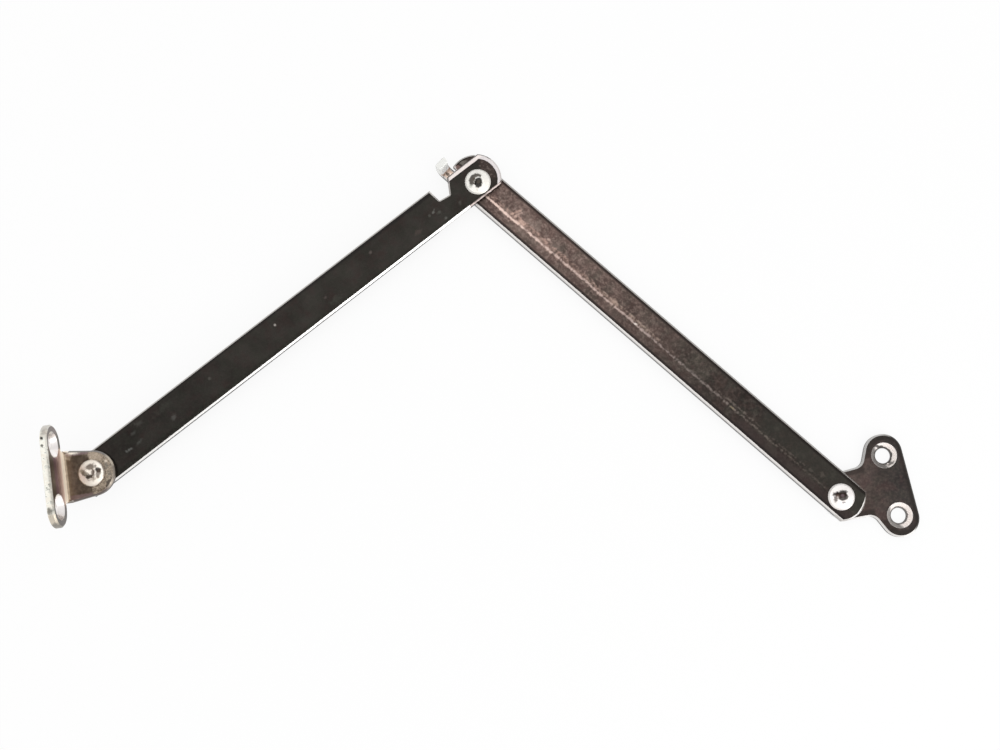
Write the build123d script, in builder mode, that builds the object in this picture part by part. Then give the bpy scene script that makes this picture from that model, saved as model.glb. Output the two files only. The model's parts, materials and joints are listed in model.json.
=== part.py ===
from build123d import *
from math import atan, cos, degrees, radians, sin, sqrt, tan
import os

# Flap stay: two flat arms with a riveted elbow, a flat side plate and a bent flap bracket.
# It lies on the back of its side plate. The pivots all turn about Z, and the front of each
# stamping faces +Z. The origin is the middle of the side plate's two screw holes, on its back.

# Sheet stock, common to the four stampings
stock = 2.0
layer_gap = 0.1  # running gap between two stampings that turn on each other
front_break = 0.45  # bevel round the front edges
back_break = 0.25  # bevel round the back edges

# Screw holes, countersunk for a 4 mm wood screw
screw_spacing = 17.1
screw_hole = 4.3
screw_sink = 7.2
sink_angle = 90

# Arms
arm_pitch = 135.0  # between the two pivots of each arm
arm_width = 11.0
arm_end_radius = 7.5  # radius of the tool that cuts the arm ends
stop_arm_shift = 0.4  # centre line of the stop arm beside its pivots, away from the lug
notched_arm_shift = 1.15  # centre line of the notched arm beside the elbow, towards the notch
bracket_end_shift = 0.25  # and beside the bracket pivot
plate_end_reach = 6.8  # stop arm past the plate pivot
bracket_end_reach = 6.1  # notched arm past the bracket pivot
elbow_end_reach = 7.5  # notched arm past the elbow
tail_reach = 9.0  # stop arm past the elbow

# Stop lug, bent up from a finger on the tail of the stop arm
lug_width = 3.5
lug_outer_face = 11.7  # from the elbow pivot
lug_height = 5.0  # above the front of the stop arm
lug_bend = 1.2  # inner bend radius
relief_width = 0.7  # slot between finger and round tail
relief_root = 7.6  # bottom of that slot, from the elbow pivot
relief_break = 0.2  # bevel round that slot

# Notch in the notched arm, in coordinates along and across the arm from the elbow pivot
notch_floor_start = 8.65
notch_floor_depth = 2.1  # floor above the pivot line at its elbow end
notch_floor_length = 3.35
notch_floor_tilt = 7.7  # floor against the arm, in degrees
notch_elbow_lean = 30.0  # elbow-side wall against square, in degrees
notch_far_lean = 6.7  # other wall, leaning away from the elbow
notch_corner = 0.3

# Side plate
plate_pivot_reach = 15.25  # from the screw line to the pivot
plate_lobe_radius = 5.35
plate_lobe_shift = 0.7  # lobe centres beyond the screw holes
plate_flare = 25.0  # side edges against the screw line, in degrees
plate_neck_half = 6.8  # neck half width and its end radius
plate_end_inset = 1.9  # centre of the neck's round end, this side of the pivot
plate_waist_half = 7.1  # where the neck meets the side edges
plate_waist_round = 2.8

# Flap bracket
tongue_end_radius = 6.3
tongue_taper = 0.9  # its half width at the bend over that at its end
screw_face_offset = 7.25  # from the pivot to the face that the screw heads lie in
bracket_bend = 0.8  # inner bend radius
screw_plate_ear = 6.9  # its end past the side of the tongue
screw_plate_depth = 10.4
screw_plate_drop = 0.4  # its middle below the screw line
screw_line_rise = 7.1  # screw line above the front of the tongue
bend_relief_round = 0.5

# Rivets
shank_dia = 4.0
seat_gap = 0.02  # round the shank where the rivet is fixed
running_gap = 0.05  # round the shank where a piece turns on it
head_dia = 7.4
head_height = 1.2
head_rim = 0.35  # height of its upright edge
head_shoulder_dia = 6.6
head_shoulder_height = 0.75
head_flat_dia = 3.4
dimple_dia = 2.2
dimple_depth = 0.15
tail_dia = 6.4
tail_height = 0.9
tail_rim = 0.4
flush_tail_dia = 6.0

# Pose in which the stay is modelled, angles in degrees
stop_arm_angle = 125.8  # from the plate pivot to the elbow
elbow_angle = 100.4  # between the two arms
bracket_angle = -3.7  # outward normal of the bracket's screw face

fixed_bore = shank_dia + 2 * seat_gap
turning_bore = shank_dia + 2 * running_gap
near = 1e-3  # for picking faces and edges by their place

# Heights of the backs of the stacked pieces
pitch = stock + layer_gap
plate_back = 0.0
stop_arm_back = plate_back + pitch
notched_arm_back = stop_arm_back + pitch
bracket_back = notched_arm_back + pitch

# Pivots
plate_pivot = Vector(-plate_pivot_reach, 0)
notched_arm_angle = stop_arm_angle + 180 - elbow_angle
elbow = plate_pivot + Vector(arm_pitch, 0).rotate(Axis.Z, stop_arm_angle)
bracket_pivot = elbow + Vector(arm_pitch, 0).rotate(Axis.Z, notched_arm_angle)


def level(pivot, height, angle=0.0):
    # horizontal plane through a pivot, with its x axis turned by angle
    origin = (pivot.X, pivot.Y, height)
    return Plane(origin, x_dir=(cos(radians(angle)), sin(radians(angle)), 0), z_dir=(0, 0, 1))


def arm_blank(start, end, middle):
    # strip of the arm width about y = middle, its ends cut by the end tool
    low = middle - arm_width / 2
    high = middle + arm_width / 2
    crown = arm_end_radius - sqrt(arm_end_radius**2 - (arm_width / 2) ** 2)
    with BuildSketch() as blank:
        with BuildLine():
            Line((start + crown, low), (end - crown, low))
            ThreePointArc((end - crown, low), (end, middle), (end - crown, high))
            Line((end - crown, high), (start + crown, high))
            ThreePointArc((start + crown, high), (start, middle), (start + crown, low))
        make_face()
    return blank.sketch


def flat_face(part, height):
    # the largest flat face at this height
    level_faces = part.faces().filter_by(Axis.Z)
    return level_faces.filter_by_position(Axis.Z, height - near, height + near).sort_by(SortBy.AREA)[-1]


def open_edges(faces):
    # edges that only one of these faces has
    edges = [edge for face in faces for edge in face.edges()]
    return ShapeList(edge for edge in edges if edges.count(edge) == 1)


def bent_skin(part, height, bend_radius, facing):
    # one side of a bent stamping: its flat face at this height, the bend, and the upright face
    rounds = part.faces().filter_by(GeomType.CYLINDER)
    bend = [face for face in rounds if abs(face.radius - bend_radius) < near]
    flats = part.faces().filter_by(GeomType.PLANE)
    upright = ShapeList(face for face in flats if face.normal_at().dot(facing) > 1 - near)
    return [flat_face(part, height), *bend, upright.sort_by(SortBy.AREA)[-1]]


# Side plate: lobes round the screw holes, a neck to the pivot
plate_front = plate_back + stock
tip = screw_spacing / 2 + plate_lobe_shift + plate_lobe_radius / tan(radians(plate_flare / 2))
waist = plate_lobe_radius - (tip - plate_waist_half) * tan(radians(plate_flare))
neck_end = plate_end_inset - plate_pivot_reach
with BuildPart() as side_plate:
    with BuildSketch(Plane.XY.offset(plate_back)) as plate_outline:
        with BuildLine():
            Polyline(
                (plate_lobe_radius, -tip),
                (plate_lobe_radius, tip),
                (waist, plate_waist_half),
                (neck_end, plate_neck_half),
                (neck_end, -plate_neck_half),
                (waist, -plate_waist_half),
                close=True,
            )
        make_face()
        fillet(plate_outline.vertices().group_by(Axis.X)[-1], radius=plate_lobe_radius)
        waists = plate_outline.vertices().filter_by_position(Axis.X, waist - near, waist + near)
        fillet(waists, radius=plate_waist_round)
        with Locations((neck_end, 0)):
            Circle(plate_neck_half)
    extrude(amount=stock)
    chamfer(flat_face(side_plate, plate_front).edges(), front_break)
    chamfer(flat_face(side_plate, plate_back).edges(), back_break)
    with Locations(Plane.XY.offset(plate_front)):
        with GridLocations(0, screw_spacing, 1, 2):
            CounterSinkHole(screw_hole / 2, screw_sink / 2, counter_sink_angle=sink_angle)
    with Locations(Plane((-plate_pivot_reach, 0, plate_back), z_dir=(0, 0, -1))):
        CounterSinkHole(fixed_bore / 2, flush_tail_dia / 2 + seat_gap, counter_sink_angle=sink_angle)
side_plate.part.label = "side_plate"

# Stop arm: flat blank with a finger on its tail, bent up into the stop lug
stop_arm_front = stop_arm_back + stock
stop_arm_plane = level(elbow, stop_arm_back, stop_arm_angle)
lug_side = arm_width / 2 - stop_arm_shift
lug_inner_face = lug_outer_face - stock
lug_top = stock + lug_height
lug_root = relief_root - lug_width
slot_middle = lug_side - lug_width - relief_width / 2
lug_plane = Plane(
    stop_arm_plane.from_local_coords((0, lug_side, 0)),
    x_dir=stop_arm_plane.x_dir,
    z_dir=-stop_arm_plane.y_dir,
)
with BuildPart() as stop_arm:
    with BuildSketch(stop_arm_plane):
        add(arm_blank(-arm_pitch - plate_end_reach, tail_reach, -stop_arm_shift))
        with Locations((relief_root, lug_side)):
            cut_width = lug_width + relief_width
            Rectangle(tail_reach, cut_width, align=(Align.MIN, Align.MAX), mode=Mode.SUBTRACT)
    extrude(amount=stock)
    with BuildSketch(lug_plane) as lug_profile:
        with BuildLine():
            Polyline(
                (lug_root, 0),
                (lug_outer_face, 0),
                (lug_outer_face, lug_top),
                (lug_inner_face, lug_top),
                (lug_inner_face, stock),
                (lug_root, stock),
                close=True,
            )
        make_face()
        fillet(lug_profile.vertices().group_by(Axis.Y)[0].sort_by(Axis.X)[-1], radius=lug_bend + stock)
        fillet(lug_profile.vertices().sort_by_distance((lug_inner_face, stock))[0], radius=lug_bend)
    extrude(amount=lug_width)

    # the slot's three edges are broken less than the others
    slot_front = stop_arm_plane.from_local_coords((relief_root, slot_middle, stock))
    front_edges = open_edges(bent_skin(stop_arm, stop_arm_front, lug_bend, -stop_arm_plane.x_dir))
    chamfer(front_edges.sort_by_distance(slot_front)[3:], front_break)
    slot_edges = flat_face(stop_arm, stop_arm_front).edges().sort_by_distance(slot_front)[:3]
    chamfer(slot_edges, relief_break)
    slot_back = stop_arm_plane.from_local_coords((relief_root, slot_middle, 0))
    outer_bend = lug_bend + stock
    back_edges = open_edges(bent_skin(stop_arm, stop_arm_back, outer_bend, stop_arm_plane.x_dir))
    chamfer(back_edges.sort_by_distance(slot_back)[3:], back_break)
    with Locations(stop_arm_plane):
        with Locations((0, 0), (-arm_pitch, 0)):
            Hole(turning_bore / 2)
stop_arm.part.label = "stop_arm"

# Notched arm: its notch takes the lug when the stay is open
notched_arm_front = notched_arm_back + stock
notched_arm_plane = level(elbow, notched_arm_back, notched_arm_angle)
tilt = radians(notch_floor_tilt)
floor_start = (notch_floor_start, -notch_floor_depth)
floor_end = (
    notch_floor_start + notch_floor_length * cos(tilt),
    -notch_floor_depth - notch_floor_length * sin(tilt),
)
mouth = -arm_width
arm_skew = degrees(atan((notched_arm_shift - bracket_end_shift) / arm_pitch))
with BuildPart() as notched_arm:
    with BuildSketch(notched_arm_plane) as notched_outline:
        with Locations(Rotation(0, 0, arm_skew)):
            add(arm_blank(-elbow_end_reach, arm_pitch + bracket_end_reach, -notched_arm_shift))
        with BuildLine():
            Polyline(
                (floor_start[0] + (mouth - floor_start[1]) * tan(radians(notch_elbow_lean)), mouth),
                floor_start,
                floor_end,
                (floor_end[0] - (mouth - floor_end[1]) * tan(radians(notch_far_lean)), mouth),
                close=True,
            )
        make_face(mode=Mode.SUBTRACT)
        for corner in (floor_start, floor_end):
            fillet(notched_outline.vertices().sort_by_distance(corner)[0], radius=notch_corner)
    extrude(amount=stock)
    chamfer(flat_face(notched_arm, notched_arm_front).edges(), front_break)
    chamfer(flat_face(notched_arm, notched_arm_back).edges(), back_break)
    with Locations(notched_arm_plane):
        Hole(fixed_bore / 2)
        with Locations((arm_pitch, 0)):
            Hole(turning_bore / 2)
notched_arm.part.label = "notched_arm"

# Flap bracket: a tongue on the pivot, bent up into an oblong screw plate
tongue_front = bracket_back + stock
bracket_plane = level(bracket_pivot, bracket_back, bracket_angle)
screw_line = stock + screw_line_rise
screw_plate_middle = screw_line - screw_plate_drop
tongue_root_half = tongue_end_radius + tongue_taper
screw_plate_length = 2 * (tongue_root_half + screw_plate_ear)
screw_plate_top = screw_plate_middle + screw_plate_depth / 2
bend_start = bracket_bend - screw_face_offset
side_view = Plane(bracket_plane.origin, x_dir=bracket_plane.x_dir, z_dir=-bracket_plane.y_dir)
front_view = Plane(bracket_plane.origin, x_dir=bracket_plane.y_dir, z_dir=bracket_plane.x_dir)
with BuildPart() as flap_bracket:
    with BuildSketch(side_view) as bracket_profile:
        with BuildLine():
            Polyline(
                (tongue_end_radius, 0),
                (-screw_face_offset - stock, 0),
                (-screw_face_offset - stock, screw_plate_top),
                (-screw_face_offset, screw_plate_top),
                (-screw_face_offset, stock),
                (tongue_end_radius, stock),
                close=True,
            )
        make_face()
        heel = bracket_profile.vertices().sort_by_distance((-screw_face_offset - stock, 0))[0]
        fillet(heel, radius=bracket_bend + stock)
        throat = bracket_profile.vertices().sort_by_distance((-screw_face_offset, stock))[0]
        fillet(throat, radius=bracket_bend)
    extrude(amount=screw_plate_length / 2, both=True)
    with BuildSketch(front_view) as screw_plate_outline:
        with Locations((0, screw_plate_middle)):
            SlotOverall(screw_plate_length, screw_plate_depth)
        Rectangle(2 * tongue_root_half, screw_line, align=(Align.CENTER, Align.MIN))
        for side in (-1, 1):
            relief = (side * tongue_root_half, screw_plate_middle - screw_plate_depth / 2)
            fillet(screw_plate_outline.vertices().sort_by_distance(relief)[0], radius=bend_relief_round)
    extrude(amount=screw_plate_length, both=True, mode=Mode.INTERSECT)
    with BuildSketch(bracket_plane):
        Circle(tongue_end_radius)
        with BuildLine():
            Polyline(
                (0, -tongue_end_radius),
                (0, tongue_end_radius),
                (bend_start, tongue_root_half),
                (bend_start, screw_plate_length),
                (-screw_plate_length, screw_plate_length),
                (-screw_plate_length, -screw_plate_length),
                (bend_start, -screw_plate_length),
                (bend_start, -tongue_root_half),
                close=True,
            )
        make_face()
    extrude(amount=screw_plate_top, mode=Mode.INTERSECT)
    front_skin = bent_skin(flap_bracket, tongue_front, bracket_bend, bracket_plane.x_dir)
    chamfer(open_edges(front_skin), front_break)
    back_skin = bent_skin(flap_bracket, bracket_back, bracket_bend + stock, -bracket_plane.x_dir)
    chamfer(open_edges(back_skin), back_break)
    with Locations(bracket_plane):
        Hole(fixed_bore / 2)
    with Locations(front_view.offset(-screw_face_offset)):
        with Locations((-screw_spacing / 2, screw_line), (screw_spacing / 2, screw_line)):
            CounterSinkHole(screw_hole / 2, screw_sink / 2, counter_sink_angle=sink_angle)
flap_bracket.part.label = "flap_bracket"


def rivet_section(grip, tail):
    # half section of a rivet, measured from under its head; grip is the length between head and tail
    with BuildSketch() as section:
        with BuildLine():
            Polyline(
                (0, head_height - dimple_depth),
                *tail,
                (shank_dia / 2, -grip),
                (shank_dia / 2, 0),
                (head_dia / 2, 0),
                (head_dia / 2, head_rim),
                (head_shoulder_dia / 2, head_shoulder_height),
                (head_flat_dia / 2, head_height),
                (dimple_dia / 2, head_height),
                (dimple_dia / 2 - 2 * dimple_depth, head_height - dimple_depth),
                close=True,
            )
        make_face()
    return section.sketch


# Rivets, turned forms on the pivots
flush_tail_depth = (flush_tail_dia - shank_dia) / 2 / tan(radians(sink_angle / 2))
rivets = {
    "plate_rivet": (plate_pivot, stop_arm_front + layer_gap, plate_back + flush_tail_depth),
    "elbow_rivet": (elbow, notched_arm_front, stop_arm_back - layer_gap),
    "bracket_rivet": (bracket_pivot, tongue_front, notched_arm_back - layer_gap),
}
os.makedirs("parts", exist_ok=True)
for name, (pivot, seat, tail_seat) in rivets.items():
    grip = seat - tail_seat
    if name == "plate_rivet":
        tail = [(0, -grip - flush_tail_depth), (flush_tail_dia / 2, -grip - flush_tail_depth)]
    else:
        tail = [
            (0, -grip - tail_height),
            (tail_dia / 2 - tail_rim, -grip - tail_height),
            (tail_dia / 2, -grip - tail_height + tail_rim),
            (tail_dia / 2, -grip),
        ]
    with BuildPart() as rivet:
        with BuildSketch(Plane((pivot.X, pivot.Y, seat), x_dir=(1, 0, 0), z_dir=(0, -1, 0))):
            add(rivet_section(grip, tail))
        revolve(axis=Axis((pivot.X, pivot.Y, 0), (0, 0, 1)))
    rivet.part.label = name
    export_step(rivet.part, f"parts/{name}.step")

for piece in (side_plate, stop_arm, notched_arm, flap_bracket):
    export_step(piece.part, f"parts/{piece.part.label}.step")
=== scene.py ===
import bpy
import json
import math
from mathutils import Matrix, Vector

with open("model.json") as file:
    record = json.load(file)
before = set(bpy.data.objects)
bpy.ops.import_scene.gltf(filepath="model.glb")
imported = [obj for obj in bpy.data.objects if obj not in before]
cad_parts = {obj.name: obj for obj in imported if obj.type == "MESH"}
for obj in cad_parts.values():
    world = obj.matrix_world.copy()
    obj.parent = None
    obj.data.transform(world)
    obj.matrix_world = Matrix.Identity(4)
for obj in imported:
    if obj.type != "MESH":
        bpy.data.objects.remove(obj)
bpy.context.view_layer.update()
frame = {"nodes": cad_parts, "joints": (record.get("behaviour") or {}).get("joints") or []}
nodes = frame["nodes"]
pivots = {joint["name"]: Vector(joint["pos_m"]) for joint in frame["joints"]}
platePivot = pivots["plate_hinge"]
elbowPivot = pivots["elbow_hinge"]
bracketPivot = pivots["bracket_hinge"]
print("frame loaded:", ", ".join(sorted(nodes)))


def hexColour(code):
    # sRGB hex to linear
    parts = [int(code[i:i + 2], 16) / 255 for i in (1, 3, 5)]
    return tuple(c / 12.92 if c <= 0.04045 else ((c + 0.055) / 1.055) ** 2.4 for c in parts) + (1.0,)


def addNode(tree, kind, settings=None, values=None, links=None):
    # one node with its settings, socket values and incoming links
    # by number: a Mix has its share at 0, its values at 2 and 3 and its colours at 6 and 7
    # a MapRange has its value at 0, what it runs from at 1 and 2, and what it runs to at 3 and 4
    node = tree.nodes.new("ShaderNode" + kind)
    for key, value in (settings or {}).items():
        setattr(node, key, value)
    for key, value in (values or {}).items():
        node.inputs[key].default_value = value
    for key, source in (links or {}).items():
        tree.links.new(source, node.inputs[key])
    return node


# the photograph's viewpoint, in the CAD frame
viewpoint = {
    "place": (-0.10774, 0.00765, 0.35572),
    "right": (0.97586, -0.21827, -0.00772),
    "down": (-0.21735, -0.96708, -0.13238),
    "forward": (0.02143, 0.13086, -0.99117),
    "lens": 45.34,  # mm
    "sensor": 36,  # mm wide
    "clip": 0.01,  # nearer than this, in metres, nothing shows
}


def placeCamera(view):
    data = bpy.data.cameras.new("camera")
    data.sensor_width = view["sensor"]
    data.lens = view["lens"]
    data.clip_start = view["clip"]
    obj = bpy.data.objects.new("camera", data)
    bpy.context.scene.collection.objects.link(obj)
    axes = Matrix((view["right"], [-c for c in view["down"]], [-c for c in view["forward"]])).transposed()
    obj.matrix_world = Matrix.Translation(view["place"]) @ axes.to_4x4()
    bpy.context.scene.camera = obj


placeCamera(viewpoint)
print("camera placed")

# A light tent: an even pale room, a wide soft box over the table and a lower one to the right of the photographer
tent = {
    "horizon": "#E6E6E6",
    "overhead": "#E0E0E0",
    "rise": (0.2, 0.95),  # from 0 at the horizon to 1 overhead: where one tone turns to the other
    "strength": 1.0,
    "aim": (-0.10, 0.05, 0.0),
    "boxes": [
        {"place": (-0.05, 0.05, 0.90), "size": 0.80, "watts": 1.9},  # metres
        {"place": (0.34, -0.52, 0.30), "size": 0.45, "watts": 1.8},
    ],
}


def lightTent(look):
    world = bpy.data.worlds.new("light tent")
    bpy.context.scene.world = world
    world.use_nodes = True
    tree = world.node_tree
    tree.nodes.clear()
    coords = addNode(tree, "TexCoord")
    parts = addNode(tree, "SeparateXYZ", links={0: coords.outputs["Generated"]})
    low, high = look["rise"]
    height = addNode(tree, "MapRange", {"interpolation_type": "SMOOTHSTEP"}, {1: low, 2: high}, {
        0: parts.outputs["Z"],
    })
    tone = addNode(tree, "Mix", {"data_type": "RGBA"}, {
        6: hexColour(look["horizon"]), 7: hexColour(look["overhead"]),
    }, {0: height.outputs[0]})
    room = addNode(tree, "Background", values={"Strength": look["strength"]}, links={"Color": tone.outputs[2]})
    backdrop = addNode(tree, "Background", values={"Color": (1, 1, 1, 1), "Strength": 1.0})
    path = addNode(tree, "LightPath")
    pick = addNode(tree, "MixShader", links={
        0: path.outputs["Is Camera Ray"], 1: room.outputs[0], 2: backdrop.outputs[0],
    })
    addNode(tree, "OutputWorld", links={"Surface": pick.outputs[0]})
    for index, box in enumerate(look["boxes"]):
        data = bpy.data.lights.new(f"soft box {index + 1}", "AREA")
        data.size = box["size"]
        data.energy = box["watts"]
        obj = bpy.data.objects.new(f"soft box {index + 1}", data)
        bpy.context.scene.collection.objects.link(obj)
        obj.location = box["place"]
        away = Vector(box["place"]) - Vector(look["aim"])
        obj.rotation_euler = away.to_track_quat("Z", "Y").to_euler()


lightTent(tent)
print("tent lit")

# White table paper, matt: it shows as a plain white ground with only a faint shadow of the part
table = {
    "material": "white table paper, matt",
    "colour": "#F4F4F4",
    "glow": 0.88,  # share of plain white seen by the camera and in reflections
    "half": 2.0,  # metres
    "gap": 0.00002,  # metres below the part, so that their faces don't share a plane
}


def layTable(look):
    half, low = look["half"], -look["gap"]
    mesh = bpy.data.meshes.new("table")
    corners = [(-half, -half, low), (half, -half, low), (half, half, low), (-half, half, low)]
    mesh.from_pydata(corners, [], [(0, 1, 2, 3)])
    obj = bpy.data.objects.new("table", mesh)
    bpy.context.scene.collection.objects.link(obj)
    mat = bpy.data.materials.new(look["material"])
    mat.use_nodes = True
    tree = mat.node_tree
    tree.nodes.clear()
    paper = addNode(tree, "BsdfDiffuse", values={"Color": hexColour(look["colour"])})
    white = addNode(tree, "Emission", values={"Color": (1, 1, 1, 1), "Strength": 1.0})
    path = addNode(tree, "LightPath")
    seen = path.outputs["Is Camera Ray"]
    for ray in ("Is Glossy Ray", "Is Transmission Ray"):
        seen = addNode(tree, "Math", {"operation": "MAXIMUM"}, links={0: seen, 1: path.outputs[ray]}).outputs[0]
    share = addNode(tree, "Math", {"operation": "MULTIPLY"}, {1: look["glow"]}, {0: seen})
    pick = addNode(tree, "MixShader", links={0: share.outputs[0], 1: paper.outputs[0], 2: white.outputs[0]})
    addNode(tree, "OutputMaterial", links={"Surface": pick.outputs[0]})
    mesh.materials.append(mat)


layTable(table)
print("table laid")

# What all the plated surfaces share, whatever their tone
plating = {
    # noises: millimetres across, detail, roughness, and for one of them the slice it is cut from
    "noises": {
        "cloud": (7, 3, 0.55),  # patches of one tone
        "tint": (3, 3, 0.6, 3.7),  # oxide tints
        "blotch": (0.9, 4, 0.65),  # spots that tumbling rubbed, pits, and how marks break up
        "grain": (0.3, 2, 0.6),  # crystals of the plating, drawn coarser than they are, to show
    },
    # a noise runs from about 0.3 to 0.7: where each of these starts and where it is full
    "clouds": (0.35, 0.65),
    "tints": (0.45, 0.70),
    "blushes": (0.50, 0.32),
    "blotches": (0.46, 0.70),
    "crystals": (0.30, 0.70),
    "mottles": (0.32, 0.62),
    "pits": (0.52, 0.66),
    "rags": (0.30, 0.70),
    "breaks": (0.38, 0.60),
    "secondTone": (0.42, 0.60),
    "polish": (0.30, 0.70),
    "flat": (0.90, 0.97),  # cosines of a tilt: an edge up to the first, a face from the second
    "bendSoft": 0.03,  # mm to each side
    "wallShadeSoft": 0.15,  # mm to each side of where the painted wall shade ends
    "sideLightSoft": 8,  # degrees to each side, for the painted light and shade of each side
    "glossier": 0.06, "duller": 0.08,  # how far the roughness goes down and up
    "frost": 0.9, "frostSoft": 0.1,  # roughness of the matt places, and mm to each side
    "relief": 0.12, "reliefDepth": 0.00003,  # strength, and metres
}


def span(name):
    low, high = plating[name]
    return {1: low, 2: high}


def angleTo(start, end):
    return math.atan2(end.y - start.y, end.x - start.x)


# the limits that a shape can have, with the piece's heading forwards: along it, across it and up
limits = {
    "past": (1, 0, 0), "before": (-1, 0, 0),
    "left": (0, 1, 0), "right": (0, -1, 0),
    "above": (0, 0, 1), "below": (0, 0, -1),
}


def mark(colour, *shapes, soft=0.2, ragged=0.1, amount=1.0, gaps="blotch", **more):
    # a stained, rubbed or scratched place inside of all its shapes, in millimetres and degrees from the piece's pivot
    # soft and ragged are millimetres of its outline, amount is its strength, and gaps the noise that breaks it up:
    # in specks with only, with holes where broken, or in spots of a second colour
    outline = {"soft": soft, "ragged": ragged, "amount": amount, "gaps": gaps}
    return {"colour": colour, "shapes": shapes, **outline, **more}


def within(shape, marks):
    # keeps a group of marks to one part of the piece
    return [{**each, "shapes": (*each["shapes"], shape)} for each in marks]


def depthInside(tree, spot, shapes):
    # how far inside all of these shapes a point lies, in millimetres
    column = 1000  # half height of an oval, so that it reaches through the whole piece
    least = None
    for kind, *size in shapes:
        if kind in ("oval", "outside"):  # an oval or all that is round it: middle, half length, half width, turn
            x, y, half, wide, turn = (*size, 0)[:5]
            oval = addNode(tree, "Mapping", {"vector_type": "TEXTURE"}, {
                "Location": (x, y, 0), "Rotation": (0, 0, math.radians(turn)), "Scale": (half, wide, column),
            }, {"Vector": spot})
            away = addNode(tree, "VectorMath", {"operation": "LENGTH"}, links={0: oval.outputs[0]})
            scale = min(half, wide) * (1 if kind == "outside" else -1)  # near enough in millimetres
            depth = addNode(tree, "Math", {"operation": "MULTIPLY_ADD"}, {1: scale, 2: -scale}, {
                0: away.outputs["Value"],
            })
        else:
            if kind == "beyond":  # a slanting line: a point on it, then the direction away from it
                x, y, towards = size
                side = math.cos(math.radians(towards)), math.sin(math.radians(towards)), 0
                limit = x * side[0] + y * side[1]
            else:
                side = limits[kind]
                limit = size[0] * sum(side)
            reach = addNode(tree, "VectorMath", {"operation": "DOT_PRODUCT"}, {1: side}, {0: spot})
            depth = addNode(tree, "Math", {"operation": "SUBTRACT"}, {1: limit}, {0: reach.outputs["Value"]})
        if least is None:
            least = depth
        else:
            least = addNode(tree, "Math", {"operation": "MINIMUM"}, links={0: least.outputs[0], 1: depth.outputs[0]})
    return least.outputs[0]


def addMark(tree, colour, place, surface):
    # a colour with one mark on it
    spot = surface["spot"]
    if "wander" in place:  # lets a scratch wander to the sides
        spot = addNode(tree, "VectorMath", {"operation": "MULTIPLY_ADD"}, {1: (0, place["wander"], 0)}, {
            0: surface["drift"], 2: spot,
        }).outputs[0]
    depth = depthInside(tree, spot, place["shapes"])
    ragged, soft, noise = place["ragged"], place["soft"], surface[place["gaps"]]
    outline = addNode(tree, "MapRange", {"clamp": False}, {**span("rags"), 3: -ragged, 4: ragged}, {
        0: surface["blotch"],
    })
    depth = addNode(tree, "Math", {"operation": "ADD"}, links={0: depth, 1: outline.outputs[0]})
    inside = addNode(tree, "MapRange", {"interpolation_type": "SMOOTHSTEP"}, {
        1: -soft / 2, 2: soft / 2, 4: place["amount"],
    }, {0: depth.outputs[0]})
    shares = [inside.outputs[0]]
    if "only" in place:
        low, high = place["only"]
        shares.append(addNode(tree, "MapRange", values={1: low, 2: high}, links={0: noise}).outputs[0])
    if "broken" in place:
        gaps = addNode(tree, "MapRange", values={**span("breaks"), 3: 1 - place["broken"]}, links={0: noise})
        shares.append(gaps.outputs[0])
    if surface["gate"]:
        shares.append(surface["gate"])
    share = shares[0]
    for other in shares[1:]:
        share = addNode(tree, "Math", {"operation": "MULTIPLY"}, links={0: share, 1: other}).outputs[0]
    stain = hexColour(place["colour"])
    stained = addNode(tree, "Mix", {"data_type": "RGBA"}, {7: stain}, {0: share, 6: colour})
    if "second" in place:
        two = addNode(tree, "MapRange", values=span("secondTone"), links={0: noise})
        both = addNode(tree, "Mix", {"data_type": "RGBA"}, {6: stain, 7: hexColour(place["second"])}, {
            0: two.outputs[0],
        })
        tree.links.new(both.outputs[2], stained.inputs[7])
    return stained.outputs[2]


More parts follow.
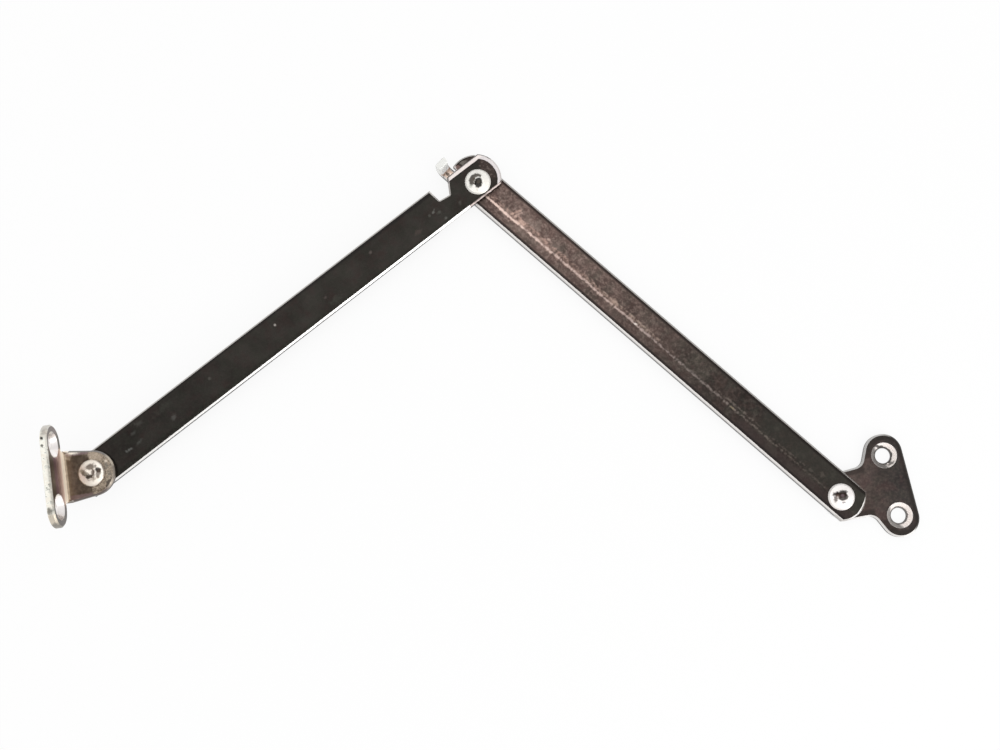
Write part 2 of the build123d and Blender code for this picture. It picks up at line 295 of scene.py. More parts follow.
def faceColour(tree, look, surface):
    # clouds of a dark and a light tone, which may change along the piece from a near pair to a far pair
    clouds = addNode(tree, "MapRange", values=span("clouds"), links={0: surface["cloud"]}).outputs[0]
    dark, light = look["near"]
    tone = addNode(tree, "Mix", {"data_type": "RGBA"}, {6: hexColour(dark), 7: hexColour(light)}, {0: clouds})
    amount = addNode(tree, "MapRange", values={3: look["blotched"][0], 4: look["blotched"][-1]})
    if "far" in look:
        start, end = look["run"]
        run = addNode(tree, "MapRange", {"interpolation_type": "SMOOTHSTEP"}, {1: start, 2: end}, {
            0: surface["along"],
        }).outputs[0]
        tree.links.new(run, amount.inputs[0])
        dark, light = look["far"]
        far = addNode(tree, "Mix", {"data_type": "RGBA"}, {6: hexColour(dark), 7: hexColour(light)}, {0: clouds})
        tone = addNode(tree, "Mix", {"data_type": "RGBA"}, links={0: run, 6: tone.outputs[2], 7: far.outputs[2]})

    # oxide tints, then light blotches
    tints = [("tints", look["tintColour"], look["tinted"])]
    if "blush" in look:
        tints.append(("blushes", look["blush"], look["blushed"]))
    for name, tint, most in tints:
        shown = addNode(tree, "MapRange", values={**span(name), 4: most}, links={0: surface["tint"]})
        tone = addNode(tree, "Mix", {"data_type": "RGBA"}, {7: hexColour(tint)}, {
            0: shown.outputs[0], 6: tone.outputs[2],
        })
    blotches = addNode(tree, "MapRange", values=span("blotches"), links={0: surface["blotch"]})
    blotches = addNode(tree, "Math", {"operation": "MULTIPLY"}, links={0: blotches.outputs[0], 1: amount.outputs[0]})
    tone = addNode(tree, "Mix", {"data_type": "RGBA"}, {7: hexColour(look["blotchColour"])}, {
        0: blotches.outputs[0], 6: tone.outputs[2],
    })

    # crystals of the plating and dark mottles: lighter and darker by a share of the tone
    grain, mottle = look["grain"], look["mottle"]
    crystals = addNode(tree, "MapRange", values={**span("crystals"), 3: 1 - grain, 4: 1 + grain}, links={
        0: surface["grain"],
    })
    mottles = addNode(tree, "MapRange", values={**span("mottles"), 3: 1 - mottle}, links={0: surface["blotch"]})
    share = addNode(tree, "Math", {"operation": "MULTIPLY"}, links={0: crystals.outputs[0], 1: mottles.outputs[0]})
    colour = addNode(tree, "VectorMath", {"operation": "SCALE"}, links={
        0: tone.outputs[2], "Scale": share.outputs[0],
    }).outputs[0]
    for place in look["marks"]:
        colour = addMark(tree, colour, place, surface)
    return colour


def faceShare(tree, look, surface):
    # 1 on the flat skins, the screw plate and the bend, 0 on bevels, walls and what stands above faceTop
    upright = addNode(tree, "Math", {"operation": "ABSOLUTE"}, links={0: surface["facing"]})
    flat = addNode(tree, "MapRange", values=span("flat"), links={0: upright.outputs[0]})
    below = addNode(tree, "Math", {"operation": "LESS_THAN"}, {1: look["faceTop"]}, {0: surface["up"]})
    share = addNode(tree, "Math", {"operation": "MULTIPLY"}, links={0: flat.outputs[0], 1: below.outputs[0]})
    others = []
    if look.get("screwPlate"):  # stands across the heading
        out = look["heading"]
        towards = addNode(tree, "VectorMath", {"operation": "DOT_PRODUCT"}, {1: (math.cos(out), math.sin(out), 0)}, {
            0: surface["turned"],
        })
        both = addNode(tree, "Math", {"operation": "ABSOLUTE"}, links={0: towards.outputs["Value"]})
        others.append(addNode(tree, "MapRange", values=span("flat"), links={0: both.outputs[0]}))
    if "bend" in look:
        soft = plating["bendSoft"]
        inside = depthInside(tree, surface["spot"], look["bend"])
        others.append(addNode(tree, "MapRange", values={1: -soft, 2: soft}, links={0: inside}))
    for other in others:
        share = addNode(tree, "Math", {"operation": "MAXIMUM"}, links={0: share.outputs[0], 1: other.outputs[0]})
    return share.outputs[0]


def edgeColour(tree, look, surface):
    # bright above, painted shade towards the back, and each side lighter or darker by the way it faces: painted light
    # and shade
    flatwise = addNode(tree, "VectorMath", {"operation": "MULTIPLY"}, {1: (1, 1, 0)}, {0: surface["turned"]})
    flatwise = addNode(tree, "VectorMath", {"operation": "NORMALIZE"}, links={0: flatwise.outputs[0]})
    edge = None
    # painted light and shade: each listed side of the edges is coloured by the way it faces
    for towards, half, shade in look["sideLightAndShade"]:
        angle = look["heading"] + math.radians(towards)
        match = addNode(tree, "VectorMath", {"operation": "DOT_PRODUCT"}, {
            1: (math.cos(angle), math.sin(angle), 0),
        }, {0: flatwise.outputs[0]})
        start, full = (math.cos(math.radians(half + way * plating["sideLightSoft"])) for way in (1, -1))
        match = addNode(tree, "MapRange", {"interpolation_type": "SMOOTHSTEP"}, {1: start, 2: full}, {
            0: match.outputs["Value"],
        })
        edge = addNode(tree, "Mix", {"data_type": "RGBA"}, {6: hexColour(look["rim"]), 7: hexColour(shade)}, {
            0: match.outputs[0], **({6: edge} if edge else {}),
        }).outputs[2]
    # painted shade on the lower part of each wall, from the back up to the given height
    top, soft = look["wallShadeTop"], plating["wallShadeSoft"]
    wallShade = addNode(tree, "MapRange", values={1: top + soft, 2: top - soft}, links={0: surface["up"]})
    edge = addNode(tree, "Mix", {"data_type": "RGBA"}, {7: hexColour(look["wallShade"])}, {0: wallShade.outputs[0], 6: edge})
    pits = addNode(tree, "MapRange", values={**span("pits"), 4: look["pitted"]}, links={0: surface["blotch"]})
    edge = addNode(tree, "Mix", {"data_type": "RGBA"}, {7: hexColour(look["pitColour"])}, {
        0: pits.outputs[0], 6: edge.outputs[2],
    }).outputs[2]
    for place in look.get("edgeMarks", []):
        edge = addMark(tree, edge, place, {**surface, "gate": None})
    return edge


def platedSteel(look):
    # pressed and tumbled steel under thin nickel: toned faces that blur what they mirror, and bright broken edges,
    # with painted light and shade on their sides by the way they face and painted shade low on their walls
    mat = bpy.data.materials.new(look["material"])
    mat.use_nodes = True
    tree = mat.node_tree
    tree.nodes.clear()
    # millimetres along and across the piece, from its pivot
    origin, millimetre = look["origin"], 0.001
    coords = addNode(tree, "TexCoord")
    spot = addNode(tree, "Mapping", {"vector_type": "TEXTURE"}, {
        "Location": (origin.x, origin.y, 0), "Rotation": (0, 0, look["heading"]), "Scale": (millimetre,) * 3,
    }, {"Vector": coords.outputs["Object"]}).outputs[0]
    along, _, up = addNode(tree, "SeparateXYZ", links={0: spot}).outputs
    geometry = addNode(tree, "NewGeometry")
    turned = addNode(tree, "VectorTransform", {
        "vector_type": "NORMAL", "convert_from": "WORLD", "convert_to": "OBJECT",
    }, links={0: geometry.outputs["True Normal"]}).outputs[0]
    facing = addNode(tree, "SeparateXYZ", links={0: turned}).outputs["Z"]
    back = -0.5  # what looks down more than this gets none of the marks on faces
    front = addNode(tree, "Math", {"operation": "GREATER_THAN"}, {1: back}, {0: facing}).outputs[0]
    surface = {"spot": spot, "along": along, "up": up, "turned": turned, "facing": facing, "gate": front}
    for name, (across, detail, rough, *cut) in plating["noises"].items():
        noise = addNode(tree, "TexNoise", {"noise_dimensions": "4D" if cut else "3D"}, {
            "Scale": 1 / across, "Detail": detail, "Roughness": rough, **({"W": cut[0]} if cut else {}),
        }, {"Vector": spot})
        surface[name] = noise.outputs["Fac"]
        if name == "cloud":
            middle = (0.5, 0.5, 0.5)  # of the noise's colours
            drift = addNode(tree, "VectorMath", {"operation": "SUBTRACT"}, {1: middle}, {0: noise.outputs["Color"]})
            surface["drift"] = drift.outputs[0]

    colour = faceColour(tree, look, surface)
    if look.get("strip"):
        face, edge = faceShare(tree, look, surface), edgeColour(tree, look, surface)
        colour = addNode(tree, "Mix", {"data_type": "RGBA"}, links={0: face, 6: edge, 7: colour}).outputs[2]
    smooth, rough = look["roughness"] - plating["glossier"], look["roughness"] + plating["duller"]
    rough = addNode(tree, "MapRange", values={**span("polish"), 3: smooth, 4: rough}, links={0: surface["blotch"]})
    for shapes in look.get("frosted", []):  # matt places scatter the light of the whole room
        soft = plating["frostSoft"]
        inside = addNode(tree, "MapRange", values={1: -soft, 2: soft}, links={0: depthInside(tree, spot, shapes)})
        rough = addNode(tree, "Mix", values={3: plating["frost"]}, links={0: inside.outputs[0], 2: rough.outputs[0]})
    relief = addNode(tree, "Bump", values={"Strength": plating["relief"], "Distance": plating["reliefDepth"]}, links={
        "Height": surface["grain"],
    })
    steel = addNode(tree, "BsdfPrincipled", values={"Metallic": 1.0}, links={
        "Base Color": colour, "Roughness": rough.outputs[0], "Normal": relief.outputs[0],
    })
    addNode(tree, "OutputMaterial", links={"Surface": steel.outputs[0]})
    return mat


def dress(node, look):
    mat = platedSteel(look)
    obj = nodes[node]
    if not obj.data.materials:
        obj.data.materials.append(mat)
    for index in range(len(obj.data.materials)):
        obj.data.materials[index] = mat
    print(node, "dressed")


# Strip steel, pressed, tumbled and nickel plated, toned brown: a satin face in cloudy red-brown that gets darker and
# greyer towards the side plate, a pale scuff along its middle, and rounded rims that flash white, partly from the
# lamps and partly as a painted highlight on one side, with painted shade low on their walls
stopArm = {
    "material": "nickel plated strip steel, brown toned",
    "strip": True,
    "origin": elbowPivot,
    "heading": angleTo(platePivot, elbowPivot),  # forwards is past the elbow, to the lug
    # dark and light clouds: near ones up to the first place along the piece, far ones from the second
    "run": (-16, -100), "near": ("#50423E", "#6E5C56"), "far": ("#292624", "#34302D"),
    "tintColour": "#4C4A42", "tinted": 0.5,
    "blush": "#5E4640", "blushed": 0.14,
    "blotchColour": "#A38F86", "blotched": (0.45, 0.07),  # near and far
    "grain": 0.16, "mottle": 0.28,
    "roughness": 0.34,
    "frosted": [[("above", 4.15), ("past", 8.2)]],  # the lug
    "faceTop": 5.0,  # what stands higher is edge
    "bend": [("past", 6.8), ("before", 9.75), ("above", 4.11), ("below", 5.4)],  # the lug's root is face
    "rim": "#B4B0AC", "sideLightAndShade": [(120, 65, "#F4F1EE")],  # painted highlight on the side facing this way: direction, half width, colour
    "wallShade": "#353130", "wallShadeTop": 3.7,  # painted shade: the edge is dark from here down
    "pitColour": "#8C8680", "pitted": 0.08,
    "marks": [
        # a pinkish haze by the elbow, and darker sides, most of all by the plate
        mark("#B7A299", ("oval", -16, -0.4, 15, 3.6), soft=1.5, only=(0.48, 0.62), gaps="tint", amount=0.12),
        mark("#3E3230", ("left", 1.6), ("before", 3), soft=0.5, ragged=0.2, amount=0.12),
        mark("#352D2C", ("left", 1.2), ("before", -100), soft=3.0, ragged=0.6, amount=0.5),
        mark("#302F2B", ("right", 0.4), ("before", -104), soft=3.0, ragged=0.6, amount=0.6),
        # tail: dark, with greyer and pinkish spots beside the slot
        mark("#332E2B", ("past", 3), ("right", 0.2), soft=0.4, amount=0.9),
        mark("#6E5B57", ("oval", 7.9, 0.1, 1.2, 0.8), soft=0.5, ragged=0.2, amount=0.8),
        mark("#6E6A64", ("oval", 7.7, -1.6, 0.7, 0.75), soft=0.4, ragged=0.2, amount=0.75),
        mark("#6E6A64", ("oval", 7.15, -2.6, 0.35, 0.6), soft=0.4, ragged=0.2, amount=0.6),
        mark("#2A2624", ("oval", 7.9, -0.75, 0.8, 0.28, 20), amount=0.8),
        mark("#211E1C", ("outside", 0, 0, 8.3, 8.3), ("past", 3), ("right", 0.4), soft=0.4, amount=0.9),
        mark("#F2E4E0", ("past", 8.1), ("left", 0.3), ("below", 4.12), amount=0.9),
        # finger under the lug: beige and brown; the lug above it painted white, a painted highlight
        mark("#C0A898", ("left", 0.9), ("past", 6), ragged=0.3, second="#F6E6DA"),
        mark("#4A3E36", ("oval", 8.5, 3.6, 0.6, 0.5), soft=0.3, ragged=0.2, amount=0.8),
        mark("#FFFFFF", ("above", 4.5), ("past", 8.7), soft=0.3),
        # dark lines inside both edges, and a painted highlight along the left rim
        mark("#242020", ("left", 3.75), ("before", 6), soft=0.5, ragged=0.15, amount=0.85),
        mark("#211D1C", ("right", -4.75), ("before", 3), soft=0.5, ragged=0.15, amount=0.85),
        mark("#DAD6D2", ("left", 4.45), ("before", 5.5), soft=0.06, ragged=0.05, amount=0.9),
        # end past the plate rivet: a painted highlight at the lower right
        mark("#F4F0EC", ("outside", -130.2, 0.6, 11.05, 11.05), ("before", -136), ("right", 2.2), ("left", -4.4),
             soft=0.15, ragged=0.05, amount=0.95),
        # the scuff: a smudged band between two wandering lines
        mark("#A98D81", ("oval", -27, 0.45, 23, 0.95), soft=0.9, ragged=0.5, broken=0.9, amount=0.42, wander=0.8),
        mark("#937F74", ("oval", -56, 0.35, 12, 0.8), soft=0.7, ragged=0.4, broken=0.9, amount=0.3),
        mark("#E6CCC0", ("oval", -12, 1.12, 13, 0.32), soft=0.35, ragged=0.2, broken=0.4, amount=0.9, wander=0.6),
        mark("#BBA69E", ("oval", -41, 0.98, 23, 0.28), soft=0.35, ragged=0.2, broken=0.7, amount=0.8, wander=0.7),
        mark("#D6CAC2", ("oval", -60.5, 0.92, 0.55, 0.32, 20), soft=0.3, amount=0.75),
        mark("#857A76", ("oval", -78, 0.9, 20, 0.3), soft=0.4, ragged=0.22, broken=0.9, amount=0.55, wander=0.7),
        mark("#686058", ("oval", -108, 1.0, 20, 0.22), soft=0.4, ragged=0.15, broken=0.9, amount=0.5, wander=0.5),
        mark("#97867B", ("oval", -57, -0.2, 9, 0.22), soft=0.3, ragged=0.2, broken=0.85, amount=0.6, wander=0.5),
        mark("#A88C80", ("oval", -20, -0.3, 12, 0.26), soft=0.4, ragged=0.3, broken=0.9, amount=0.5, wander=0.9),
        mark("#6E655E", ("oval", -98, -0.15, 5, 0.26), soft=0.3, ragged=0.2, broken=0.9, amount=0.5),
        mark("#5E5650", ("oval", -116, 0.0, 4, 0.2), soft=0.3, ragged=0.2, broken=0.9, amount=0.4),
        # side smears of the scuff
        mark("#C2A496", ("oval", -13.6, -0.9, 1.6, 0.32, 65), soft=0.4, ragged=0.15, broken=0.5, amount=0.55),
        mark("#C8AA9C", ("oval", -17.2, 0.1, 1.3, 0.7, 40), soft=0.6, ragged=0.3, broken=0.5, amount=0.55),
        mark("#CDB1A4", ("oval", -14.4, 0.3, 1.9, 0.4, 78), soft=0.5, ragged=0.3, broken=0.4, amount=0.45),
        mark("#9C877A", ("oval", -52, 0.2, 1.0, 1.2), soft=0.7, ragged=0.4, broken=0.5, amount=0.4),
        mark("#BCA498", ("oval", -26, -1.2, 0.5, 0.4), soft=0.4, amount=0.5),
        mark("#857A62", ("oval", -96.3, 1.0, 0.8, 0.25), amount=0.45),
        mark("#7C746C", ("oval", -124, -0.2, 0.6, 0.45), soft=0.5, ragged=0.3, amount=0.1),
        mark("#7C746C", ("oval", -127.2, -1.3, 0.8, 0.5, -30), soft=0.5, ragged=0.4, amount=0.12),
    ],
    "edgeMarks": [
        # end past the plate rivet: painted shade, grey, on one side, and a paler painted highlight on the other
        mark("#8E827C", ("before", -137), ("right", -2.8), soft=0.8, amount=0.9),
        mark("#C6C2BE", ("before", -137), ("left", 2.6), soft=0.8, amount=0.7),
        # the lug above its darker foot, painted white: a painted highlight
        mark("#F8F8F6", ("above", 4.6), ("past", 8), soft=0.3, amount=0.95),
    ],
}
dress("stop_arm", stopArm)

# The same strip toned nearly black: smoother, so its face is an even black-brown with little dust and a few wiped
# smudges, and its bright rims, partly a painted highlight, stand out from it
notchedArm = {
    "material": "nickel plated strip steel, black toned",
    "strip": True,
    "origin": elbowPivot,
    "heading": angleTo(elbowPivot, bracketPivot),
    "run": (0, 130), "near": ("#2C2926", "#363330"), "far": ("#282523", "#322F2C"),
    "tintColour": "#2C2D28", "tinted": 0.6,
    "blush": "#322826", "blushed": 0.5,
    "blotchColour": "#403C38", "blotched": (0.2, 0.2),
    "grain": 0.06, "mottle": 0.12,
    "roughness": 0.32,
    "faceTop": 6.5,
    # rim colour, with a painted highlight on one side
    "rim": "#B8B4B0", "sideLightAndShade": [(135, 75, "#F4F2EF")],
    # painted shade low on the walls, from this height down
    "wallShade": "#262322", "wallShadeTop": 5.66,
    "pitColour": "#8C8680", "pitted": 0.05,
    "marks": [
        # darker along both edges
        mark("#1F1D1B", ("left", 3.25), soft=0.7, ragged=0.3, amount=0.55, second="#2C2E28"),
        mark("#1E1C1D", ("right", -5.1), soft=0.7, ragged=0.3, amount=0.6),
        # head: brown tint, and bright bands on its rims round the elbow: painted highlights
        mark("#453936", ("oval", -4.6, -1.5, 1.6, 3.4), soft=1.0, ragged=0.4, amount=0.5),
        mark("#6E625C", ("oval", -4.4, -1.6, 1.5, 3.2), soft=0.6, only=(0.52, 0.64), amount=0.6),
        mark("#D0CACA", ("outside", 0, -0.9, 6.25, 6.25), ("before", 0), soft=0.15, ragged=0.08, amount=0.95),
        mark("#DDD4D0", ("right", -5.3), ("before", 6.9), soft=0.12, ragged=0.06, amount=0.95),
        # dust and wiped smudges
        mark("#8A8A84", ("oval", 13.6, 2.7, 0.35, 0.3), soft=0.6, ragged=0.2, amount=0.22),
        mark("#7E8078", ("oval", 14.1, 0.2, 0.5, 0.4), soft=0.7, ragged=0.3, amount=0.16),
        mark("#8A8C86", ("oval", 15.4, -0.9, 0.6, 0.3, 30), soft=0.5, ragged=0.2, amount=0.28),
        mark("#7E8078", ("oval", 16.9, -0.75, 0.35, 0.35), soft=0.5, ragged=0.2, amount=0.14),
        mark("#7E8078", ("oval", 7.7, 1.6, 0.5, 0.35, 60), soft=0.6, ragged=0.2, amount=0.12),
        mark("#7A6460", ("oval", 22.4, 1.0, 1.0, 0.7), soft=0.9, ragged=0.4, amount=0.1),
        mark("#8A7E7A", ("oval", 36.6, -2.6, 0.45, 0.35), soft=0.6, ragged=0.2, amount=0.2),
        mark("#8A7E7A", ("oval", 54.5, -0.05, 0.35, 0.3), soft=0.6, amount=0.14),
        mark("#5E665C", ("oval", 52.5, 2.2, 1.8, 0.8), soft=1.2, ragged=0.6, amount=0.1),
        mark("#A8A29C", ("oval", 70.5, -2.55, 0.33, 0.33), soft=0.4, amount=0.6),
        mark("#7E7A74", ("oval", 94.0, -1.7, 0.4, 0.35), soft=0.6, ragged=0.2, amount=0.16),
        mark("#767874", ("oval", 108.3, 0.9, 0.9, 0.5, 35), soft=0.7, ragged=0.2, amount=0.2),
        mark("#4A4E46", ("oval", 109, -3.1, 3.2, 0.7, 4), soft=1.0, ragged=0.4, amount=0.14),
        mark("#7A7C78", ("oval", 119.9, 0.6, 0.7, 0.3, 20), soft=0.6, ragged=0.2, amount=0.2),
        mark("#888A86", ("oval", 123.6, 0.7, 0.9, 0.3, -10), soft=0.5, ragged=0.3, amount=0.3),
        mark("#7E807C", ("oval", 119.9, -2.4, 0.7, 0.4), soft=0.8, ragged=0.2, amount=0.12),
        mark("#6A6C66", ("oval", 117.2, -3.8, 1.2, 0.5, -30), soft=0.8, ragged=0.4, amount=0.14),
    ],
    "edgeMarks": [
        # left rim beyond the notch and the rim round the head: bright, painted highlights
        mark("#EFECE9", ("before", 17.5), ("past", 6), ("left", 3.3), soft=1.0, amount=0.85),
        mark("#D6D0CE", ("before", 7.0), ("above", 5.7), soft=0.3, amount=0.95),
        # head's lower rim: a dark line with a grey wall under it
        mark("#4A4442", ("before", 6.9), ("right", -3), ("below", 6.02), soft=0.1, amount=0.9),
        mark("#B4B0B0", ("before", 1.0), ("right", 3.3), ("below", 5.6), soft=0.3, amount=0.8),
        # head's rim by the lug: a brown band between two dark lines
        mark("#9A8E8A", ("before", 6.0), ("left", 3.6), ("above", 5.7), soft=0.1),
        mark("#4E4643", ("before", 6.0), ("left", 3.6), ("above", 6.05), soft=0.1, amount=0.9),
        mark("#544A46", ("before", 6.0), ("left", 3.6), ("below", 5.78), soft=0.1, amount=0.9),
    ],
}
dress("notched_arm", notchedArm)

# The same strip toned purple-brown: a mottled satin face with a darker border, and matt countersinks that scatter the
# light and are painted white to pinkish, a painted highlight, with painted shade at the lower left
sidePlate = {
    "material": "nickel plated strip steel, purple-brown toned",
    "strip": True,
    "origin": Vector((0, 0, 0)),  # midway between the screw holes
    "heading": 0.0,
    "run": (-9, 4), "near": ("#463C39", "#554946"), "far": ("#312E2E", "#3B3736"),
    "tintColour": "#3E3E38", "tinted": 0.5,
    "blush": "#4E3C3A", "blushed": 0.4,
    "blotchColour": "#64574F", "blotched": (0.35, 0.25),
    "grain": 0.12, "mottle": 0.25,
    "roughness": 0.34,
    "frosted": [[("oval", 0, side * 8.55, 3.56, 3.56), ("above", 0.62)] for side in (1, -1)],  # countersinks
    "faceTop": 2.5,
    # rim colour, with painted highlights on two sides and painted shade on a third
    "rim": "#A29F9B", "sideLightAndShade": [(125, 50, "#C9C7C5"), (-115, 62, "#F2EFEC"), (5, 48, "#37332F")],
    # painted shade low on the walls, from this height down
    "wallShade": "#4C4846", "wallShadeTop": 1.3,
    "pitColour": "#8C8680", "pitted": 0.1,
    "marks": [
        # dark border, and a shadowy patch between the holes
        mark("#2A2725", ("outside", 0.6, 8.8, 4.1, 4.1), ("left", 8.8), soft=0.9, amount=0.6),
        mark("#2A2725", ("outside", 0.6, -8.8, 4.1, 4.1), ("right", -8.8), soft=0.9, amount=0.6),
        mark("#2A2725", ("past", 4.0), soft=0.9, amount=0.6),
        mark("#2A2725", ("right", -5.2), ("before", -6.5), soft=0.8, amount=0.6),
        mark("#2A2725", ("left", 5.2), ("before", -6.5), soft=0.8, amount=0.6),
        mark("#2C2A28", ("oval", -1.0, 5.0, 3.2, 2.2, 30), soft=2.0, ragged=0.4, amount=0.35),
    ],
    "edgeMarks": [
        # neck's hidden end: painted white like the table, a painted highlight
        mark("#FFFFFF", ("before", -15.5), soft=0.4),
        # countersinks, matt: painted white to pinkish, a painted highlight, and grey at the lower left, a painted
        # shade
        *within(("above", 0.62), [
            mark("#FFFAF7", ("oval", 0, 8.55, 3.75, 3.75)),
            mark("#7E7A77", ("oval", 0, 8.55, 3.75, 3.75), ("beyond", -0.7, 8.0, 200), soft=1.0, ragged=0.2,
                 amount=0.85),
            mark("#6A6562", ("oval", 1.4, 6.0, 1.0, 0.4, 20), soft=0.4, ragged=0.2, amount=0.7),
            mark("#5A5552", ("oval", -0.6, 11.3, 1.4, 0.35, -20), soft=0.3, ragged=0.2, amount=0.85),
            mark("#FFFAF7", ("oval", 0, -8.55, 3.75, 3.75)),
            mark("#8A8683", ("oval", 0, -8.55, 3.75, 3.75), ("beyond", -1.0, -9.0, 200), soft=1.0, ragged=0.2,
                 amount=0.75),
        ]),
        # dark rings at the holes
        mark("#5C5754", ("oval", 0, 8.55, 2.55, 2.55), ("outside", -0.1, 8.5, 2.12, 2.12), soft=0.15, ragged=0.12,
             amount=0.85),
        mark("#6A6562", ("oval", 0, -8.55, 2.55, 2.55), ("outside", -0.1, -8.6, 2.12, 2.12), soft=0.15, ragged=0.12,
             amount=0.75),
    ],
}
dress("side_plate", sidePlate)

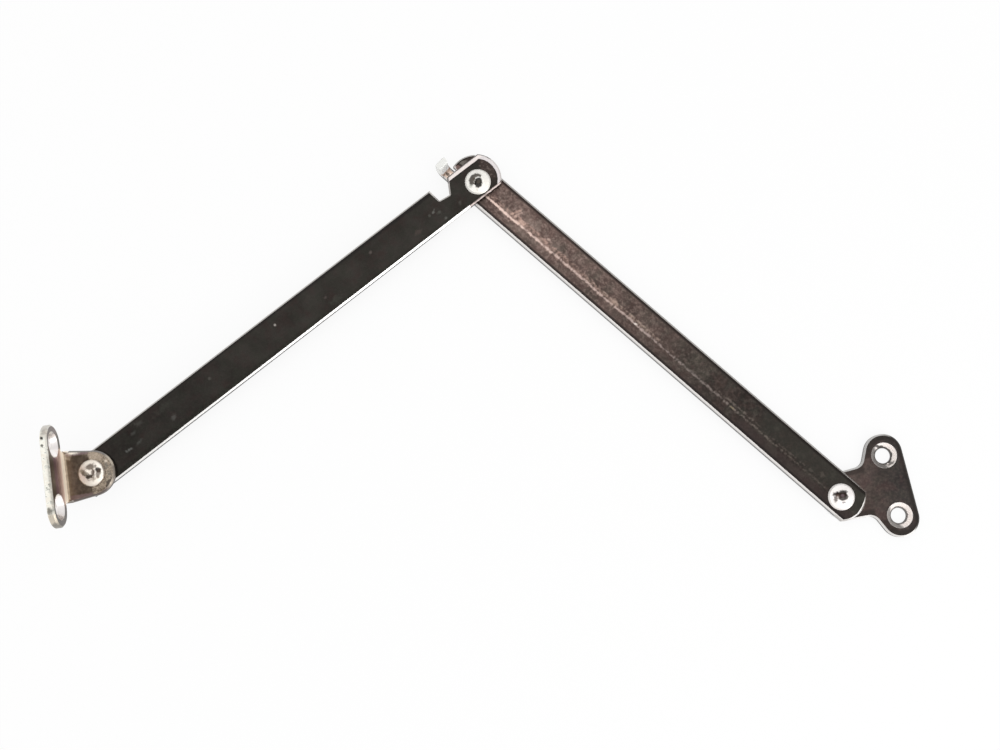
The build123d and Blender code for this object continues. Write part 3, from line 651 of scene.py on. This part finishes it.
# The same strip toned champagne: warm and lighter. The tongue is sandy past the rivet, dark before it as a painted
# shade, and purple along its sides, the stretched outside of the bend has a cream line, a painted highlight, and the
# screw plate, seen at a slant, goes from cream by the bend through purple to brown, partly its tone and partly a
# painted reflection
flapBracket = {
    "material": "nickel plated strip steel, champagne toned",
    "strip": True,
    "origin": bracketPivot,
    "heading": math.radians(-3.7),  # forwards is away from the screw plate
    # the tongue gets dark from the bend up to the rivet: painted shade; past the rivet a sandy mark covers it
    "run": (-7.5, -4.0), "near": ("#7C6D5C", "#8C7F6D"), "far": ("#50453B", "#5F5449"),
    "tintColour": "#5E5248", "tinted": 0.4,
    "blotchColour": "#8E8070", "blotched": (0.2, 0.2),
    "grain": 0.10, "mottle": 0.15,
    "roughness": 0.36,
    "frosted": [  # the middle of the bend, and the relief corners
        [("above", 8.5), ("below", 12.9), ("before", -7.0), ("oval", -8, 0, 3, 7.4)],
        *([("oval", -7.4, side * 7.5, 1.3, 1.3), ("below", 11)] for side in (1, -1)),
    ],
    "faceTop": 10.0,
    "screwPlate": True,
    "bend": [("before", -6.3), ("past", -7.4), ("above", 8.29), ("below", 9.4)],
    # rim colour, with painted shade on the two long sides
    "rim": "#CFC4B4", "sideLightAndShade": [(90, 45, "#8E8A86"), (-90, 40, "#8A7E7C")],
    # painted shade low on the walls, from this height down
    "wallShade": "#5A544E", "wallShadeTop": 7.5,
    "pitColour": "#9A9080", "pitted": 0.15,
    "marks": [
        *within(("below", 8.6), [
            # tongue: sandy past the rivet, where the painted shade before it ends, and purple along its sides
            mark("#6F6356", ("past", -0.35), soft=0.12, ragged=0.03, gaps="grain", second="#B0A18F"),
            mark("#4E4338", ("past", -0.35), soft=0.3, only=(0.5, 0.6), amount=0.5),
            mark("#C6B6A4", ("oval", 1.2, 4.6, 2.2, 1.0, -20), soft=1.0, ragged=0.4, amount=0.5),
            mark("#86827A", ("past", 3.9), soft=1.0, ragged=0.5, broken=0.5, amount=0.5),
            mark("#423A34", ("oval", 4.4, -3.2, 1.9, 0.4, 50), soft=0.4, ragged=0.3, amount=0.7),
            mark("#5A4E42", ("oval", 2.3, -5.0, 1.0, 0.35, 15), soft=0.4, ragged=0.3, amount=0.6),
            mark("#E2D4C2", ("oval", 4.3, 2.7, 0.5, 0.35), soft=0.3, ragged=0.2, amount=0.7),
            mark("#8A7778", ("before", -0.35), ("past", -6.6), ("left", 5.5), soft=0.5, amount=0.75),
            mark("#7A6766", ("before", -0.35), ("past", -6.6), ("right", -5.4), soft=0.5, amount=0.7),
            mark("#41352E", ("oval", -1.2, 3.6, 0.9, 1.0), soft=0.8, ragged=0.3, amount=0.5),
            mark("#FFFAF0", ("oval", -4.9, 6.35, 1.5, 0.45, -4), soft=0.6, ragged=0.2, amount=0.95),
            mark("#E2D2BE", ("oval", -6.0, 5.4, 0.8, 0.75, -4), soft=0.8, ragged=0.4, amount=0.35),
        ]),
        # bend: a cream line, a painted highlight
        mark("#B8A48E", ("before", -6.75), ("above", 8.2), ("below", 10.9), soft=0.4),
        mark("#FFF6E8", ("before", -7.02), ("above", 8.6), ("below", 10.9), soft=0.3, ragged=0.05),
        # screw plate, upwards from the bend: cream, rose, purple and brown, partly its tone and partly a painted
        # reflection
        mark("#E8D2C4", ("above", 10.6), soft=0.6),
        mark("#BFA598", ("above", 11.6), soft=1.6),
        mark("#E6CCC8", ("above", 12.9)),
        mark("#C6A9B0", ("above", 14.0), soft=1.6),
        mark("#A68993", ("above", 15.0), soft=1.2),
        mark("#857A6F", ("above", 16.6), soft=1.4),
        mark("#75695D", ("above", 18.0), soft=1.2),
        # its grey ends, darker at the bend
        mark("#7A726E", ("above", 10.2), ("left", 8.2), soft=0.9, ragged=0.3, amount=0.95),
        mark("#55544C", ("above", 10.2), ("below", 11.9), ("left", 7.6), soft=0.6, ragged=0.2, amount=0.8),
        mark("#625E58", ("above", 10.2), ("right", -8.6), soft=0.9, ragged=0.3, amount=0.95),
        mark("#514A4A", ("above", 10.2), ("below", 11.9), ("right", -7.8), soft=0.6, ragged=0.2, amount=0.7),
    ],
    "edgeMarks": [
        # near edge of the screw plate: cream, dark specks along it, greyer ends
        *within(("above", 14.9), [
            mark("#F4EEE2", second="#FFFFF6"),
            mark("#858074", ("past", -7.8), ("right", 5), soft=1.0, ragged=0.7, amount=0.5),
            mark("#7A766A", ("right", 8.4), soft=0.5, ragged=0.3, only=(0.58, 0.66), amount=0.7),
        ]),
        *within(("above", 14.5), [
            mark("#34322E", ("oval", -8.6, 10.2, 0.35, 0.5), soft=0.3, ragged=0.2, amount=0.95),
            mark("#55524C", ("oval", -8.6, 8.1, 0.3, 0.35), soft=0.3, ragged=0.2, amount=0.8),
            mark("#5A584E", ("oval", -8.5, -9.6, 0.7, 1.0), soft=0.5, ragged=0.3, amount=0.8),
        ]),
        *within(("above", 12), [
            mark("#B4B0AC", ("left", 12.2), soft=1.2, ragged=0.3, amount=0.6),
            mark("#D6C8B4", ("right", -10.6), soft=0.8, ragged=0.3, amount=0.7),
            mark("#7C7A76", ("right", -13.0), soft=0.8, ragged=0.3, amount=0.8),
        ]),
        # screw holes: painted white, a painted highlight, one with a brown painted shade at its top
        mark("#FFFAF8", ("left", 5.3), ("right", 12.1), ("above", 10.85), ("below", 14.95), soft=0.15),
        mark("#A3968C", ("oval", -7.8, 8.55, 1.2, 3.9), ("above", 18.5), ("below", 19.7), soft=0.6, ragged=0.3,
             amount=0.6),
        mark("#FFFAF8", ("right", -5.3), ("left", -12.1), ("above", 10.85), ("below", 14.95), soft=0.15),
        # relief corners at the tongue's root: painted glints
        mark("#FFFAF2", ("oval", -7.4, 7.5, 1.7, 1.7), ("below", 11), soft=0.3),
        mark("#FFFAF2", ("oval", -7.4, -7.5, 1.7, 1.7), ("below", 11), soft=0.3),
        # tongue's far rim: darker at the lower right
        mark("#6A625C", ("beyond", 2.5, -0.5, -65), ("below", 8.4), soft=0.8, ragged=0.2, amount=0.8),
    ],
}
dress("flap_bracket", flapBracket)

# Rivet steel, headed in a press and nickel plated, hardly toned: pale matt domes, with an irregular dark stain where
# the setting tool struck them
rivetHead = {
    "heading": 0.0,
    "tintColour": "#EFE6DC", "tinted": 0.3,
    "blotchColour": "#FFFFFF", "blotched": (0.1,),
    "grain": 0.03, "mottle": 0.04,
    "roughness": 0.52,
}

plateRivet = {
    **rivetHead,
    "material": "nickel plated rivet steel, white, with a dark set mark",
    "origin": platePivot,
    "near": ("#FBF5F2", "#FFFCFA"),
    "marks": within(("above", 4.3), [
        mark("#241A16", ("oval", 0.1, 0.8, 1.6, 1.0, -6), soft=0.45, ragged=0.25, amount=0.95),
        mark("#2E2420", ("oval", 0.3, 0.0, 1.3, 1.15), soft=0.4, ragged=0.2, amount=0.9),
        mark("#281E1A", ("oval", -1.2, 1.05, 1.1, 0.6, -10), soft=0.5, ragged=0.3, amount=0.9),
        mark("#6E5F62", ("oval", 0.25, 0.3, 0.5, 0.42), soft=0.5, amount=0.75),
        mark("#46362E", ("oval", -1.95, -0.1, 0.5, 1.0, -12), soft=0.5, ragged=0.3, amount=0.8),
        mark("#86736A", ("oval", -1.1, 0.3, 0.45, 0.5), soft=0.5, ragged=0.2, amount=0.5),
        mark("#5E565C", ("oval", 0.1, -1.65, 0.45, 0.24, -10), soft=0.3, amount=0.7),
    ]),
}
dress("plate_rivet", plateRivet)

elbowRivet = {
    **rivetHead,
    "material": "nickel plated rivet steel, pale grey, with a dark set mark",
    "origin": elbowPivot,
    "near": ("#F6F3EC", "#FEFCF7"),
    "marks": within(("above", 6.4), [
        mark("#3E352C", ("oval", -0.5, 0.35, 2.1, 1.8, 50), ("outside", 0.35, -0.2, 1.35, 1.35), ("before", 1.25),
             ("left", -0.9), soft=0.5, ragged=0.3, amount=0.9),
        mark("#4E4438", ("oval", -0.9, 0.3, 0.6, 0.8), soft=0.5, ragged=0.3, amount=0.7),
        mark("#1C1914", ("oval", 0.1, -0.5, 1.6, 1.1, 68), soft=0.4, ragged=0.2, amount=0.95),
        mark("#5A5248", ("oval", 0.2, -0.3, 0.5, 0.5), soft=0.5, ragged=0.15, amount=0.6),
        mark("#9A8E84", ("oval", -0.75, -2.3, 0.22, 0.5, 10), soft=0.4, amount=0.35),
        mark("#9AA090", ("oval", -2.3, -1.0, 0.5, 0.5), soft=0.6, amount=0.45),
    ]),
}
dress("elbow_rivet", elbowRivet)

bracketRivet = {
    **rivetHead,
    "material": "nickel plated rivet steel, cream, with a dark set mark",
    "origin": bracketPivot,
    "near": ("#FFF6EA", "#FFFAF2"),
    "marks": [
        # painted shade: a brown foot all round the head
        mark("#7C6A5A", ("outside", 0, 0, 3.4, 3.65), ("above", 8.35), soft=0.3, amount=0.8),
        *within(("above", 8.5), [
            mark("#5C4C3E", ("oval", 0.25, 1.6, 1.3, 0.85, 10), soft=0.6, ragged=0.35, amount=0.8),
            mark("#58482F", ("oval", -1.5, 0.0, 0.65, 1.35, 38), soft=0.6, ragged=0.3, amount=0.8),
            mark("#2A1D10", ("oval", -0.5, -0.95, 1.1, 0.6, -10), soft=0.4, ragged=0.25, amount=0.9),
            mark("#523F30", ("oval", 0.65, -0.3, 0.5, 1.5, -4), soft=0.5, ragged=0.2, amount=0.8),
            mark("#221915", ("oval", 2.2, 0.35, 0.8, 0.7, -10), soft=0.4, ragged=0.25, amount=0.95),
            mark("#5A4C42", ("oval", 2.0, -0.8, 0.55, 1.1, -25), soft=0.5, ragged=0.25, amount=0.8),
            mark("#8E7C6C", ("oval", 0.4, -1.8, 1.3, 0.45, 8), soft=0.6, ragged=0.3, amount=0.55),
            mark("#9E967C", ("oval", -2.4, 1.1, 0.6, 0.6), soft=0.7, ragged=0.3, amount=0.5),
        ]),
    ],
}
dress("bracket_rivet", bracketRivet)

bpy.context.scene.view_settings.view_transform = "Standard"
